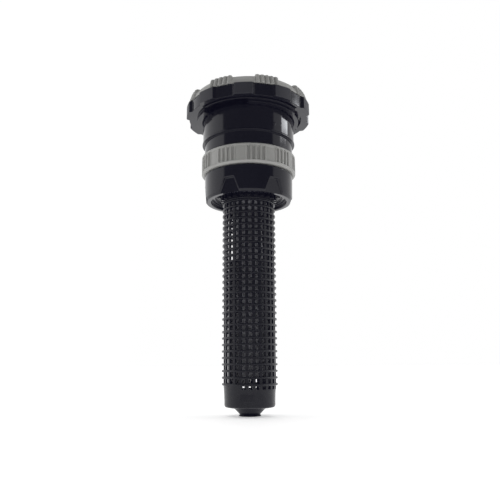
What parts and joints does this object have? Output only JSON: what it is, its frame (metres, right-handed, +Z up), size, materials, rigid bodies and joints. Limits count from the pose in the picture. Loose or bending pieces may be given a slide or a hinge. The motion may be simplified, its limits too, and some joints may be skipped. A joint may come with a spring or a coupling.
{
  "type": "rotating stream sprinkler nozzle",
  "caption": "Rotating stream nozzle for a pop-up sprinkler: turning scalloped head with ribbed dial, arc ring, threaded collar and long ribbed filter basket.",
  "frame": {"origin": "centre of the filter's foot, at its lowest face", "axes": "+Z up along the nozzle's axis, -Y the front, +X to the right seen from the front"},
  "size_m": [0.0318, 0.032, 0.0784],
  "materials": {
    "black_collar": "glossy moulded",
    "black_filter": "satin moulded",
    "grey_plastic": "satin moulded",
    "inner_plastic": "acetal, satin",
    "valve_plastic": "satin moulded",
    "seal_rubber": "matt",
    "stainless": "ground",
    "spring_steel": "drawn wire"
  },
  "bodies": {
    "base": {"nozzle_base": "black_collar", "riser_gasket": "seal_rubber", "throttle_cage": "valve_plastic", "arc_seal_ring": "seal_rubber", "upper_valve_helix": "valve_plastic", "valve_o_ring": "seal_rubber", "body_collar": "black_collar", "hub_bushing": "inner_plastic"},
    "arc_valve": {"arc_ring": "grey_plastic", "lower_valve_helix": "valve_plastic"},
    "filter": {"filter_screen": "black_filter", "flow_tube": "grey_plastic"},
    "lift": {"spring_retainer": "stainless", "return_spring": "spring_steel"},
    "shaft_line": {"shaft": "stainless", "shaft_clip": "stainless", "damper_rotor": "inner_plastic"},
    "throttle": {"throttle_nut": "inner_plastic"},
    "rotor": {"rotor_rim": "black_collar", "top_dial": "grey_plastic", "deflector": "black_collar", "damper_housing": "inner_plastic", "lower_bearing": "inner_plastic", "shaft_seal": "seal_rubber", "seal_retainer": "stainless", "damper_lid": "inner_plastic", "lid_o_ring": "seal_rubber", "upper_bearing": "inner_plastic"}
  },
  "joints": [
    {"name": "pop_up", "type": "slide", "parent": "base", "child": "lift", "axis": [0, 0, 1], "range_m": [0, 0.003], "stiffness_N_per_m": 900, "springref_m": -0.001, "deforming": ["return_spring"]},
    {"name": "radius_turn", "type": "hinge", "parent": "lift", "child": "shaft_line", "pos_m": [0, 0, 0.06], "axis": [0, 0, 1], "range_deg": [0, 1440]},
    {"name": "throttle_slide", "type": "slide", "parent": "lift", "child": "throttle", "axis": [0, 0, 1], "range_m": [0, 0.0016]},
    {"name": "rotor_spin", "type": "hinge", "parent": "shaft_line", "child": "rotor", "pos_m": [0, 0, 0.0725], "axis": [0, 0, 1], "continuous": true},
    {"name": "arc_turn", "type": "hinge", "parent": "base", "child": "arc_valve", "pos_m": [0, 0, 0.06], "axis": [0, 0, 1], "range_deg": [0, 180]},
    {"name": "filter_pull", "type": "slide", "parent": "base", "child": "filter", "axis": [0, 0, -1], "range_m": [0, 0.06]}
  ],
  "couplings": [
    {"joint": "radius_turn", "follows": "throttle_slide", "rad_per_m": 15708}
  ]
}
